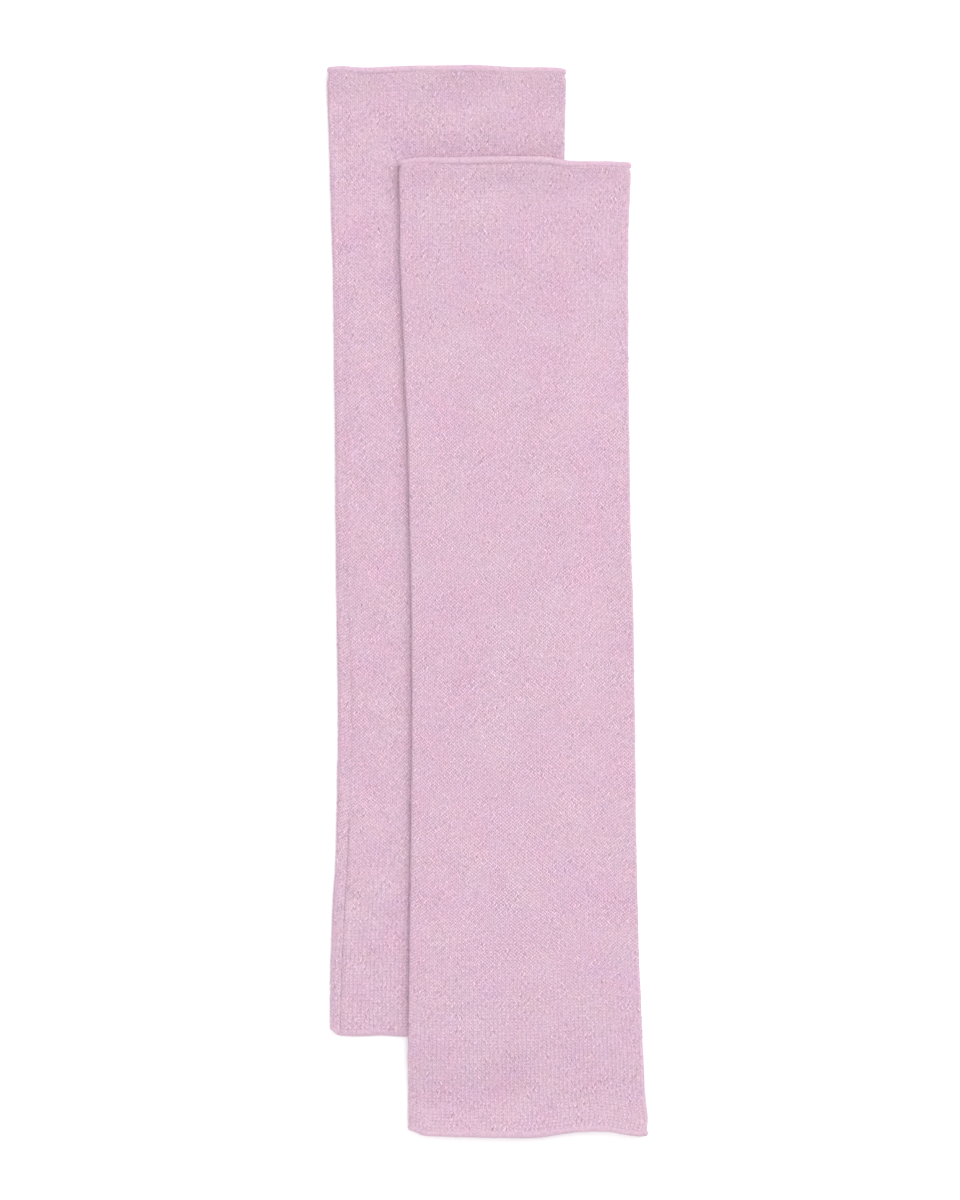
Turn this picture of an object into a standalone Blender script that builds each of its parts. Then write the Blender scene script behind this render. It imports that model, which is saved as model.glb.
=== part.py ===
"""A pair of long fingerless gloves in fine jersey, laid flat, the second one partly over the first.

Each glove is one knitted panel, folded round into a flat tube and linked in one seam, with its
raw edges left to roll. The wall of a tube is parted where that seam is, and once more beside the
far fold, so that it makes an upper and a lower layer which lie on each other. The seam's turned-in
edges are a narrow strip inside the tube.

X runs across the gloves, +Y points to the hand ends and Z = 0 is the surface they lie on. Sizes
are in millimetres, and the last step turns them into metres.
"""

import math
from collections import namedtuple

import bmesh
import bpy

MM = 0.001

# Cloth
WALL = 1.2  # thickness of the jersey
INSIDE_GAP = 0.5  # air between the two walls of a flat tube
PART_GAP = 0.3  # between pieces that meet at a seam or lie on each other

# Lengths and places of the two gloves, hand end to arm end
UNDER_HAND_Y = 220.0
UNDER_LENGTH = 398.6
OVER_HAND_Y = 182.0
OVER_LENGTH = 402.0

# Rolled raw edges, measured at the middle of the wall
ROLL_TURN = math.radians(242)  # how far the edge curls round, away from the corners
ROLL_TURN_AT_FOLD = math.radians(84)  # it opens out towards a corner
ROLL_AT_FOLD = 0.8  # radius
ROLL_OPENS = 7.5  # how far from a fold it starts to open
ROLL_UNDERNEATH = 0.78  # radius where the glove's weight presses it
FOLD_PULL_IN = 0.5  # how far a fold draws in just before its rolled end
PULL_IN_RUN = 7.0
END_HELD_UP = 4.0  # length of a rolled end that its own lower roll holds up
END_COMES_DOWN = 19.0  # where it lies flat again

# The one end that isn't rolled: its upper layer comes down over the edge of its lower layer
TURNED_RADIUS = 1.5
TURNED_CORNER = 4.6  # radius of its corners, seen from above
TURNED_RAMP = 4.0  # how far from a fold the turning is complete
LOWER_STOPS_SHORT = 1.7

# Linked seam
SEAM_STRIP_WIDE = 3.0
SEAM_STRIP_THICK = 0.5
SEAM_RIDGE = SEAM_STRIP_THICK + 2 * PART_GAP - INSIDE_GAP  # how far it lifts the upper layer
SEAM_RIDGE_TOP = 1.8  # half width of the ridge's top
SEAM_RIDGE_FOOT = 2.8
SEAM_STOPS_SHORT = 16.0  # of both ends
SEAM_RIDGE_STARTS = 3.0  # from both ends
SEAM_RIDGE_FULL = 12.0

# How the over glove comes down from the under glove to the surface
DRAPE_RUN_SIDE = 13.0
DRAPE_RUN_END = 18.0
DRAPE_STARTS = 0.4  # inside the under glove's edge

# How far the wall goes on past the far fold before it is parted
LIP = 1.2

# Fineness of the meshes: steps round a fold and a roll, between the stops of a long run and
# between those of a glove's length
FOLD_STEPS = 8
ROLL_STEPS = 6
UNDER_RUN_STEPS = (4, 6, 4)
UNDER_LENGTH_STEPS = (3, 9, 4)
OVER_RUN_STEPS = (4, 5, 4, 1, 4)
OVER_LENGTH_STEPS = (4, 1, 5, 9, 4)
BESIDE_FOLD = 7.5  # the stop nearest to an end of a run
MIN_TURN = 0.001  # an edge that turns less is straight

# Jersey, a heather of pink and lilac
JERSEY_COLOUR = (0.75, 0.52, 0.645, 1.0)
SEAM_COLOUR = (0.68, 0.44, 0.57, 1.0)
JERSEY_ROUGHNESS = 0.92

# Values that follow from those above
HOME_MIDDLE = 1 - SEAM_RIDGE_TOP / SEAM_RIDGE_FOOT
FOLD_RADIUS = (WALL + INSIDE_GAP) / 2
TUBE_THICK = 2 * WALL + INSIDE_GAP
TUBE_MIDDLE = TUBE_THICK / 2
UNDER_ARM_Y = UNDER_HAND_Y - UNDER_LENGTH
OVER_ARM_Y = OVER_HAND_Y - OVER_LENGTH
BRINK_END = UNDER_ARM_Y + DRAPE_STARTS
HELD_UP = 2 * ROLL_UNDERNEATH
SEAM_STRIP_LIES = WALL + PART_GAP + SEAM_STRIP_THICK / 2
TURNED_LENGTH = TURNED_RADIUS * math.pi / 2

# A flat tube from above: both sides and the seam, at distances down from the hand end
Outline = namedtuple("Outline", "down left right seam")
UNDER_OUTLINE = [
    Outline(0.0, -66.4, 32.4, -58.4),
    Outline(21.0, -65.9, 32.0, -58.2),
    Outline(43.0, -65.2, 31.4, -58.2),
    Outline(80.0, -64.0, 30.2, -58.2),
    Outline(154.0, -63.1, 28.4, -58.2),
    Outline(214.0, -62.6, 27.8, -57.8),
    Outline(250.0, -62.0, 28.0, -56.2),
    Outline(280.0, -61.9, 28.4, -56.0),
    Outline(322.0, -62.7, 29.6, -57.0),
    Outline(350.0, -64.2, 30.6, -58.9),
    Outline(376.0, -65.0, 31.6, -59.8),
    Outline(398.6, -65.2, 32.6, -60.4),
]
OVER_OUTLINE = [
    Outline(0.0, -37.0, 59.0, 53.4),
    Outline(20.0, -36.4, 58.3, 52.8),
    Outline(42.0, -35.9, 57.9, 52.4),
    Outline(80.0, -34.2, 57.9, 52.4),
    Outline(116.0, -33.3, 58.3, 52.8),
    Outline(150.0, -32.4, 58.8, 53.3),
    Outline(192.0, -31.6, 60.0, 54.5),
    Outline(242.0, -31.6, 60.7, 55.2),
    Outline(285.0, -32.0, 61.2, 55.7),
    Outline(324.0, -32.5, 62.2, 56.7),
    Outline(361.0, -33.0, 63.6, 58.1),
    Outline(386.0, -33.0, 65.0, 59.5),
    Outline(402.0, -33.0, 66.4, 60.9),
]

# An end's edge from above: how far it reaches past its glove's nominal end, and the radius of
# its roll, at shares of the width from left to right
Edge = namedtuple("Edge", "across reach roll")
UNDER_HAND_EDGE = [
    Edge(0.00, -0.2, 0.80),
    Edge(0.05, 0.0, 0.80),
    Edge(0.12, -0.5, 0.81),
    Edge(0.30, -0.3, 0.83),
    Edge(0.50, -0.1, 0.98),
    Edge(0.62, 0.0, 1.00),
    Edge(0.76, -0.6, 0.84),
    Edge(0.88, -0.8, 0.82),
    Edge(0.96, -0.5, 0.81),
    Edge(1.00, -1.0, 0.80),
]
UNDER_ARM_EDGE = [
    Edge(0.00, -0.3, 0.80),
    Edge(0.10, 0.0, 0.80),
    Edge(0.30, -0.7, 0.80),
    Edge(0.55, -0.2, 0.80),
    Edge(0.80, -0.4, 0.80),
    Edge(1.00, 0.0, 0.80),
]
OVER_HAND_EDGE = [
    Edge(0.00, -1.2, 0.80),
    Edge(0.08, -0.4, 0.80),
    Edge(0.20, -0.6, 0.82),
    Edge(0.34, -0.3, 1.05),
    Edge(0.44, 0.0, 1.00),
    Edge(0.56, -0.2, 0.88),
    Edge(0.68, -0.9, 1.08),
    Edge(0.76, -1.8, 0.90),
    Edge(0.90, -1.6, 0.80),
    Edge(1.00, -1.8, 0.80),
]
OVER_ARM_EDGE = [
    Edge(0.00, -1.7, 0.80),
    Edge(0.10, -0.8, 0.80),
    Edge(0.24, -0.4, 1.05),
    Edge(0.40, 0.0, 1.10),
    Edge(0.54, -0.1, 1.05),
    Edge(0.64, -1.2, 0.80),
    Edge(0.74, -1.8, 0.80),
    Edge(0.85, -1.8, 0.80),
    Edge(0.93, -0.9, 0.80),
    Edge(1.00, -0.6, 0.80),
]

Glove = namedtuple("Glove", "name hand_y arm_y outline hand_edge arm_edge arm_rolls seam_on_top")
UNDER = Glove(
    "under_glove", UNDER_HAND_Y, UNDER_ARM_Y, UNDER_OUTLINE, UNDER_HAND_EDGE, UNDER_ARM_EDGE,
    arm_rolls=False, seam_on_top=True,
)
OVER = Glove(
    "over_glove", OVER_HAND_Y, OVER_ARM_Y, OVER_OUTLINE, OVER_HAND_EDGE, OVER_ARM_EDGE,
    arm_rolls=True, seam_on_top=False,
)

Point = namedtuple("Point", "x z out_x out_z from_fold")


def clear_scene():
    for thing in list(bpy.data.objects):
        bpy.data.objects.remove(thing, do_unlink=True)


def step_up(value, low, high):
    """0 below low, 1 above high, and a soft step between them."""
    share = min(max((value - low) / (high - low), 0.0), 1.0)
    return share * share * (3 - 2 * share)


def read_table(rows, at):
    """A table's row at a place between its rows, on a smooth curve through them."""
    places = [row[0] for row in rows]
    at = min(max(at, places[0]), places[-1])
    i = max(k for k in range(len(rows) - 1) if places[k] <= at)
    before, start = rows[max(i - 1, 0)], rows[i]
    end, after = rows[i + 1], rows[min(i + 2, len(rows) - 1)]
    t = (at - start[0]) / (end[0] - start[0])
    values = []
    for a, b, c, d in zip(before, start, end, after):
        slope_in = (c - a) / 2
        slope_out = (d - b) / 2
        values.append(
            (2 * t**3 - 3 * t**2 + 1) * b
            + (t**3 - 2 * t**2 + t) * slope_in
            + (3 * t**2 - 2 * t**3) * c
            + (t**3 - t**2) * slope_out
        )
    return type(rows[0])(*values)


def outline_at(glove, y):
    """The sides, at the middle of the wall, and the seam at a place along the glove.

    The sides are drawn in a little before a rolled end.
    """
    row = read_table(glove.outline, glove.hand_y - y)
    hand = 1 - step_up(glove.hand_y - y, 0, PULL_IN_RUN)
    arm = 1 - step_up(y - glove.arm_y, 0, PULL_IN_RUN)
    inward = WALL / 2 + FOLD_PULL_IN * (hand + (arm if glove.arm_rolls else 0.0))
    return row._replace(left=row.left + inward, right=row.right - inward)


def brink_at(y):
    """Where the over glove starts to come down beside the under glove."""
    return outline_at(UNDER, max(y, UNDER_ARM_Y)).right - DRAPE_STARTS


def ground(glove, x, y):
    """Height of what the glove lies on: the surface, or the under glove and the way down from it."""
    if glove is UNDER:
        return 0.0
    brink = brink_at(y)
    beside = step_up(x, brink, brink + DRAPE_RUN_SIDE)
    beyond = step_up(BRINK_END - y, 0, DRAPE_RUN_END)
    return (TUBE_THICK + PART_GAP) * (1 - beside) * (1 - beyond)


def between(stops, place):
    """A place along a row of stops, where 1.5 is halfway from the second to the third."""
    i = min(int(place), len(stops) - 2)
    return stops[i] + (place - i) * (stops[i + 1] - stops[i])


def run_stops(glove, y, start, end):
    """The stops of a long run, which follow the over glove's way down from the under glove."""
    way = 1 if end > start else -1
    drape = [] if glove is UNDER else [brink_at(y), brink_at(y) + DRAPE_RUN_SIDE][::way]
    return [start, start + way * BESIDE_FOLD, *drape, end - way * BESIDE_FOLD, end]


def length_stops(glove, arm_y, hand_y):
    """The stops of a glove's length, from where the straight wall starts to where it ends."""
    drape = [] if glove is UNDER else [BRINK_END - DRAPE_RUN_END, BRINK_END]
    return [arm_y, glove.arm_y + END_COMES_DOWN, *drape, glove.hand_y - END_COMES_DOWN, hand_y]


def section_point(glove, y, stretch, place):
    """A point of the tube's cross-section at the middle of its wall, and its direction outwards.

    The section runs from the seam along the long run and round the far fold to a short lip. It
    goes on along the other side, round the near fold and home to the seam. A glove with its seam
    underneath has the same section turned half round.
    """
    left, right, seam = outline_at(glove, y)[1:]
    near, far = (left, right) if glove.seam_on_top else (right, left)
    up = 1 if glove.seam_on_top else -1
    inward = 1 if far > near else -1
    near_fold, far_fold = near + inward * FOLD_RADIUS, far - inward * FOLD_RADIUS
    seam_edge = seam - inward * PART_GAP / 2
    runs = {
        "long": (run_stops(glove, y, seam + inward * PART_GAP / 2, far_fold), up),
        "lip": ((far_fold, far_fold - inward * LIP), -up),
        "back": (run_stops(glove, y, far_fold - inward * (LIP + PART_GAP), near_fold), -up),
        "home": ((seam_edge - inward * SEAM_RIDGE_FOOT, seam_edge), up),
    }
    if stretch in runs:
        stops, side = runs[stretch]
        x = between(stops, place)
        to_fold = min(abs(x - near_fold), abs(x - far_fold))
        return Point(x, TUBE_MIDDLE + side * FOLD_RADIUS, 0.0, side, to_fold)
    centre, outward, sense = {
        "far fold": (far_fold, inward, 1),
        "near fold": (near_fold, -inward, -1),
    }[stretch]
    angle = sense * math.pi * (0.5 - place)
    out_x, out_z = outward * math.cos(angle), up * math.sin(angle)
    return Point(centre + out_x * FOLD_RADIUS, TUBE_MIDDLE + out_z * FOLD_RADIUS, out_x, out_z, 0.0)


def seam_ridge(glove, x, y):
    """How far the seam's strip lifts the upper layer."""
    seam = outline_at(glove, y).seam
    ends = step_up(glove.hand_y - y, SEAM_RIDGE_STARTS, SEAM_RIDGE_FULL)
    ends *= step_up(y - glove.arm_y, SEAM_RIDGE_STARTS, SEAM_RIDGE_FULL)
    return SEAM_RIDGE * ends * (1 - step_up(abs(x - seam), SEAM_RIDGE_TOP, SEAM_RIDGE_FOOT))


def held_up(glove, y):
    """How far a rolled end stands on the roll beneath it."""
    rise = 1 - step_up(glove.hand_y - y, END_HELD_UP, END_COMES_DOWN)
    if glove.arm_rolls:
        rise += 1 - step_up(y - glove.arm_y, END_HELD_UP, END_COMES_DOWN)
    return HELD_UP * rise


def corner_set_back(from_side):
    """How far a turned end's rounded corner stands back from the edge's straight line."""
    inside = max(TURNED_CORNER - max(from_side, WALL / 2), 0.0)
    return TURNED_CORNER - math.sqrt(TURNED_CORNER**2 - inside**2)


def curl(length, turn):
    """How far an edge of this length, bent evenly through this turn, goes forward and outwards."""
    if abs(turn) < MIN_TURN:
        return length, 0.0
    radius = length / turn
    return radius * math.sin(turn), radius * (1 - math.cos(turn))


def end_of_wall(glove, hand, stretch, place):
    """Where a column's straight wall stops, how long its curled edge is and how far that turns.

    A negative turn goes into the tube.
    """
    end_y = glove.hand_y if hand else glove.arm_y
    point = section_point(glove, end_y, stretch, place)
    left, right = outline_at(glove, end_y)[1:3]
    across = (point.x - left) / (right - left)
    edge = read_table(glove.hand_edge if hand else glove.arm_edge, across)
    if hand or glove.arm_rolls:
        closed = step_up(point.from_fold, 0, ROLL_OPENS)
        resting = edge.roll if point.out_z > 0 else ROLL_UNDERNEATH
        radius = ROLL_AT_FOLD + closed * (resting - ROLL_AT_FOLD)
        turn = ROLL_TURN_AT_FOLD + closed * (ROLL_TURN - ROLL_TURN_AT_FOLD)
        curled = radius * turn
        back = radius + WALL / 2 - edge.reach
    else:
        on_top = max(point.out_z, 0.0)
        turn = -math.pi / 2 * on_top * step_up(point.from_fold, 0, TURNED_RAMP)
        curled = TURNED_LENGTH
        back = curl(curled, turn)[0] - WALL / 2 * math.sin(turn) - edge.reach
        back += corner_set_back(min(point.x - left, right - point.x))
        back += LOWER_STOPS_SHORT * (1 - point.out_z) / 2
    return end_y - back if hand else end_y + back, curled, turn


def wall_point(glove, column, station):
    """A point in the middle of the wall, for a column of the section and a station along it."""
    arm_y = end_of_wall(glove, False, *column)[0]
    hand_y = end_of_wall(glove, True, *column)[0]
    stops = length_stops(glove, arm_y, hand_y)
    straight = min(max(station, 0), len(stops) - 1)
    y = between(stops, straight)
    x, z, out_x, out_z, _ = section_point(glove, y, *column)
    if station != straight:
        hand = station > straight
        _, curled, turn = end_of_wall(glove, hand, *column)
        share = abs(station - straight)
        forward, outward = curl(curled * share, turn * share)
        y += forward if hand else -forward
        x += out_x * outward
        z += out_z * outward
    z += seam_ridge(glove, x, y) * max(out_z, 0.0)
    z += held_up(glove, y) + ground(glove, x, y)
    return x, y, z


def places(steps):
    """Places between stops, with so many steps from each stop to the next."""
    found = [0.0]
    for i, count in enumerate(steps):
        found += [i + k / count for k in range(1, count + 1)]
    return found


def material(name, colour):
    made = bpy.data.materials.new(name)
    made.use_nodes = True
    shader = made.node_tree.nodes["Principled BSDF"]
    shader.inputs["Base Color"].default_value = colour
    shader.inputs["Roughness"].default_value = JERSEY_ROUGHNESS
    shader.inputs["Metallic"].default_value = 0.0
    return made


def sheet(name, rows, thickness, colour):
    """Cloth through rows of points, with its thickness laid half on each side of them."""
    bm = bmesh.new()
    across, along = len(rows[0]), len(rows)
    grid = bmesh.ops.create_grid(bm, x_segments=across - 1, y_segments=along - 1, size=1)
    points = [point for row in rows for point in row]
    for vert, point in zip(grid["verts"], points):
        vert.co = [value * MM for value in point]
    mesh = bpy.data.meshes.new(name)
    bm.to_mesh(mesh)
    bm.free()
    mesh.shade_smooth()
    mesh.materials.append(material(name, colour))
    cloth = bpy.data.objects.new(name, mesh)
    bpy.context.collection.objects.link(cloth)
    wall = cloth.modifiers.new("wall", "SOLIDIFY")
    wall.thickness = thickness * MM
    wall.offset = 0.0
    wall.use_even_offset = True
    wall.use_rim = True
    return cloth


def layer(glove, name, columns):
    """One layer of a tube, from the tip of its arm end's roll to the tip of its hand end's."""
    rolled = [k / ROLL_STEPS for k in range(1, ROLL_STEPS + 1)]
    along = places(UNDER_LENGTH_STEPS if glove is UNDER else OVER_LENGTH_STEPS)
    stations = [-share for share in reversed(rolled)] + along
    stations += [along[-1] + share for share in rolled]
    rows = [[wall_point(glove, column, station) for column in columns] for station in stations]
    return sheet(f"{glove.name}_{name}", rows, WALL, JERSEY_COLOUR)


def layers(glove):
    """The tube's two layers: one takes the far fold with it, the other the near fold."""
    bend = places([FOLD_STEPS])[1:]
    steps = UNDER_RUN_STEPS if glove is UNDER else OVER_RUN_STEPS
    back_side = [("back", place) for place in places(steps)]
    back_side += [("near fold", place) for place in bend]
    back_side += [("home", place) for place in (0.0, HOME_MIDDLE, 1.0)]
    long_side = [("long", place) for place in places(steps if glove is UNDER else steps[::-1])]
    long_side += [("far fold", place) for place in bend] + [("lip", 1.0)]
    if glove.seam_on_top:
        layer(glove, "upper_layer", long_side)
        layer(glove, "lower_layer", back_side)
    else:
        layer(glove, "lower_layer", long_side)
        layer(glove, "upper_layer", back_side)


def seam(glove):
    """The linked seam's turned-in edges, a flat strip that lies between the two layers."""
    stops = [glove.arm_y + SEAM_STOPS_SHORT, glove.hand_y - SEAM_STOPS_SHORT]
    stops = length_stops(glove, *stops)
    steps = UNDER_LENGTH_STEPS if glove is UNDER else OVER_LENGTH_STEPS
    rows = []
    for place in places(steps):
        y = between(stops, place)
        middle = outline_at(glove, y).seam
        across = [middle + side * SEAM_STRIP_WIDE for side in (-0.5, 0.0, 0.5)]
        rows.append([(x, y, SEAM_STRIP_LIES + held_up(glove, y) + ground(glove, x, y)) for x in across])
    sheet(f"{glove.name}_seam", rows, SEAM_STRIP_THICK, SEAM_COLOUR)


def main():
    clear_scene()
    for glove in (UNDER, OVER):
        layers(glove)
        seam(glove)


main()
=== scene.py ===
"""A pair of long fingerless gloves in fine heather jersey, dressed for the render.

Each glove is a flat knitted tube. Its wall is a thin shell on the form of its solids. The stitches,
the linked seam, the purl side that shows on the rolled ends and the nap are made flat, by wales
across and courses along, and then laid on that wall. Sizes are in millimetres, and a mesh takes
them in metres.
"""
import math
from collections import namedtuple

import bmesh
import bpy
import numpy as np
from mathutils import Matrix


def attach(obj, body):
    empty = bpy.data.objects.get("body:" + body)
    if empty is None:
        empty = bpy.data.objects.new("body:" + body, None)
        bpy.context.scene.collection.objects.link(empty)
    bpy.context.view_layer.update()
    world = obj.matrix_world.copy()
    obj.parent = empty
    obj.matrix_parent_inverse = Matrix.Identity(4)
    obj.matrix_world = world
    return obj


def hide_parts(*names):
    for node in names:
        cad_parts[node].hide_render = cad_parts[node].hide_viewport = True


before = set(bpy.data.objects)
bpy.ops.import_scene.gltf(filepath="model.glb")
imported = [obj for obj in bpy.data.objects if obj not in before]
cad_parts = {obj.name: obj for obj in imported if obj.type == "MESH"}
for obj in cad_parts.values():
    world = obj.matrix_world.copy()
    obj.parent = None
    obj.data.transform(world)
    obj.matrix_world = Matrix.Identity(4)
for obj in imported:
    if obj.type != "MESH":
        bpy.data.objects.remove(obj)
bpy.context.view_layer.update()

MM = 0.001

# Cloth, as in the solids
WALL = 1.2
INSIDE_GAP = 0.5
PART_GAP = 0.3
FLOOR_GAP = 0.02
UNDER_HAND_Y = 220.0
UNDER_LENGTH = 398.6
OVER_HAND_Y = 182.0
OVER_LENGTH = 402.0

# Rolled raw edges, at the middle of the wall
ROLL_TURN = math.radians(256)
ROLL_AT_FOLD = 0.70  # a roll's radius at the glove's folds
ROLL_NARROWS = 6.0  # how far from a fold it starts to narrow to that
ROLL_UNDERNEATH = 0.78  # its radius on the underside
HAND_ROLL_FLAT = 0.88  # how high a roll stands for its width
ARM_ROLL_FLAT = 0.62
DRAWN_UP_FULL = 1.2  # how far behind a roll the cloth drawn up to it stands highest
DRAWN_UP_ENDS = 12.0
FOLD_PULL_IN = 1.4  # how far a rolled end draws in both folds
PULL_IN_RUN = 8.0
END_HELD_UP = 4.0  # how much of an end the roll underneath holds up in full
END_COMES_DOWN = 19.0

# The end that isn't rolled: its upper layer turns down over the lower one's edge
TURNED_RADIUS = 1.5
TURNED_CORNER = 4.6  # how round its corners are from above
TURNED_RAMP = 4.0  # how far from a fold it turns down in full
LOWER_STOPS_SHORT = 1.7
MIN_TURN = 0.001  # under which an edge is straight

# Linked seam: the ridge that its turned-in edges make, and the groove of its line
SEAM_RIDGE = 0.10
SEAM_RIDGE_TOP = 1.0  # half its width there
SEAM_RIDGE_FOOT = 5.5
SEAM_RIDGE_STARTS = 3.0  # from an end
SEAM_RIDGE_FULL = 12.0
GROOVE_HALF_WIDE = 0.44
GROOVE_PAINTED_SHADE = 1.7  # painted shade in it, for each millimetre of its depth
GROOVE_PAINTED_SHADE_WALES = 0.4  # half the width of that painted shade
LINK_SIZE = (0.66, 0.5, 0.42)
LINK_SINKS = 0.12

# The over glove's way down from the under glove, and what of the under glove it hides
DRAPE_RUN_SIDE = 28.0
DRAPE_RUN_END = 33.0
DRAPE_STARTS = 0.4  # this far within the under glove's outline
HIDDEN_FROM_SIDE = 3.0  # this far within the over glove's
HIDDEN_FROM_END = 4.0

# The knit that shows, in wales from the left fold and in courses, and how it is parted
UNDER_SHOWS_WALES = 26  # beside the over glove
UNDER_SHOWS_FROM = 268  # above it
OVER_SWATCHES = 3

# From the outline to the middle of the wall, stitches counted
OUTER_SIDE = 0.9

# Creases
CREASES_START = 6.0  # from a fold
CREASES_FROM_END = (1.0, 9.0)
CREASE_SWINGS = 0.5  # how far its line swings, in half widths
CREASE_WAVES = 1.7

# How far lines and sizes wander
OUTLINE_WANDERS = 0.16
REACH_WANDERS = 0.12
ROLL_WANDERS = 0.05  # as a share of its radius
GROOVE_WANDERS = 0.4  # as a share of its depth

# How finely a glove's wall is made
CURL_STEPS = 12
STRAIGHT_STEPS = 150
LAYER_STEPS = 40
FOLD_STEPS = 10
HOME_STEPS = 11
GATHER = 0.85  # how much closer the steps lie near a stretch's ends
HOME_GATHER = 0.5
DOUBLE = 0.01  # points this close are one

# Knit
WALES = 116  # round the whole tube
COURSES = 300  # along the straight of the wall
CURL_COURSES = 3.0  # in a rolled edge
WALE = 190 / WALES  # how wide one is, from the flat width of the cloth
COURSE = 398 / COURSES
STITCH_RISE = 0.29
STITCH_SINKS = 0.12
WALE_STEPS = 8  # how finely the wall is read across for them
SHOWS_DOWN_TO = -0.6  # how far down the last wales of the side that shows may face
LEG_SLANT = 0.46  # wales across to a course along
LEG_OUT = 0.25  # from its wale's middle, halfway along it
LEG_REACH = (0.03, 0.52)  # how near its wale's middle a leg starts and how far out it ends
WALES_PART = 0.12  # how much lower a leg's outer end lies near the glove's ends
WALES_PART_MIDWAY = 0.30
ENDS_FADE = (25, 75)  # courses over which the look of the ends gives way to that midway
LOW_AT_ENDS = 0.25  # how much lower the stitches lie near the ends
PLUMP_SPREAD = 0.18
PLUMP_LIMITS = (0.5, 1.4)
ASIDE_SPREAD = 0.04

# Shades of the yarn: 0.5 is its own
YARN_SHADE = 0.5
SHADE_LIMITS = (-0.8, 1.1)
FLECK_SHADE = 0.2
DIP_PAINTED_SHADE = 0.18  # painted shade at a leg's edges and tail, where it goes down between its neighbours
DIP_SHADE_FADES_AT_ENDS = 0.5
HAND_WALE_SHADE = 0.5  # painted shade between the wales near the hand end, with their middles lighter
ARM_WALE_SHADE = 0.95
END_SHADE = 0.30
PIT_PAINTED_SHADE = 0.09  # painted shade in the hollows between the legs, midway: inside a V, and beside it half a course on
WALL_GAP_SHADE = 0.3  # painted shade of the wall behind the stitches, which shows in their gaps
WALL_SHADE_LIFT = 0.2  # how much lighter that is where felted, and again at the ends
CURL_SHADE = 0.62

# Felting, in patches: it evens and deepens the shades, flattens the stitches and lessens the painted
# shade in the hollows between the legs
FELT_WAVES = 9
FELT_SIZE = 1.3
FELT_SIZE_STEP = 3  # waves for each millimetre that their size grows
FELT_FROM, FELT_FULL = -2.2, 3.2
FELT_EVENS = 0.3
FELT_DEEPENS = 0.05
FELT_FLATTENS = 0.2
FELT_FILLS = 0.35

# The purl side on the rolled ends
PURL_COURSES = 3
PURL_FROM = -0.8
PURL_RUN = CURL_COURSES + 0.9
PURL_LOW = 0.55  # how high its bars stand for the height of a leg
PURL_SHADE = 0.08
PURL_SHADE_SPREAD = 0.08

# Loose fibres
FIBRES = 3000  # on each glove
FIBRE_TRIES = 6  # roots tried for each one, since only some places show
FIBRE_SIDES = 3
FIBRE_TIP = 0.12
FIBRE_THICK = 0.055
FIBRE_LONG, FIBRE_LONG_SPREAD = 2.0, 0.7
FIBRE_LONG_LIMITS = (0.7, 4.0)
FIBRE_BEND = 1.6
FIBRE_LIFT = (0.05, 0.55)
FIBRE_ARCH = 2.4
FIBRE_SINKS = 0.06
FIBRE_SHADE = 0.8
SEEN_ABOVE = 0.8  # over what the glove lies on

# Colours, as shares of red, green and blue
PINK = (0.660, 0.449, 0.553)
LILAC = (0.643, 0.449, 0.573)
# The wall and the seam's links are made darker than the yarn: painted shade, since the wall shows in
# the gaps between the stitches and the links lie in the seam's groove
WALL_SHADED_LIGHTNESS = 0.79
FIBRE_LIGHTNESS = 1.1
WALL_SHADE_RANGE = 0.38
STITCH_SHADE_RANGE = 0.36
SHEEN_TINT = (1.0, 0.86, 0.93, 1.0)
ASH = 0.035  # how far the yarn's green wanders up and down
FLOOR_COLOUR = (0.96, 0.96, 0.96, 1.0)

# Noise in the yarn: its scale, detail and roughness, and its values that count as none and all
Noise = namedtuple("Noise", "scale detail roughness low high")
BLEND_NOISE = Noise(120.0, 3.0, 0.6, 0.36, 0.64)  # of pink and lilac
ASH_NOISE = Noise(62.0, 2.0, 0.5, 0.3, 0.7)
CLOUD_NOISE = Noise(38.0, 2.0, 0.5, 0.3, 0.7)
SPECK_NOISE = Noise(1500.0, 1.0, 0.5, 0.25, 0.75)
CLOUD_SHADE = 0.01
SPECK_SHADE = 0.17
PIT_SHADE_AT = (0.5, 0.7)  # where that painted shade of the hollows falls, as shares of a wale and of a course

# Camera and lamps, in metres, and the photo's pixels, in millimetres
CAMERA_AWAY = 1.6
CLOTH_TOP = 0.004
LAMPS_AWAY = 3.6
FRAME_WIDE = 960  # pixels
PIXEL = 0.41
CAMERA_TO_SIDE = -8  # pixels
CAMERA_TO_END = 1.5

# Values that follow
LEG_HIGH = STITCH_RISE + STITCH_SINKS
FOLD_RADIUS = (WALL + INSIDE_GAP) / 2
TUBE_THICK = 2 * WALL + INSIDE_GAP
TUBE_MIDDLE = TUBE_THICK / 2
UNDER_ARM_Y = UNDER_HAND_Y - UNDER_LENGTH
OVER_ARM_Y = OVER_HAND_Y - OVER_LENGTH
HELD_UP = 2 * ROLL_UNDERNEATH * HAND_ROLL_FLAT
TURNED_LENGTH = TURNED_RADIUS * math.pi / 2

# A strand of yarn that shows, at places along it: how wide it is there and its share of the height
Station = namedtuple("Station", "along wide high")
LEG = [
    Station(-0.22, 0.20, 0.30), Station(0.12, 0.45, 1.00),
    Station(0.82, 0.45, 0.90), Station(1.30, 0.24, 0.00),
]
BAR = [
    Station(-0.60, 0.50, 0.00), Station(-0.22, 0.95, 0.80),
    Station(0.22, 0.95, 0.80), Station(0.60, 0.50, 0.00),
]

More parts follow.
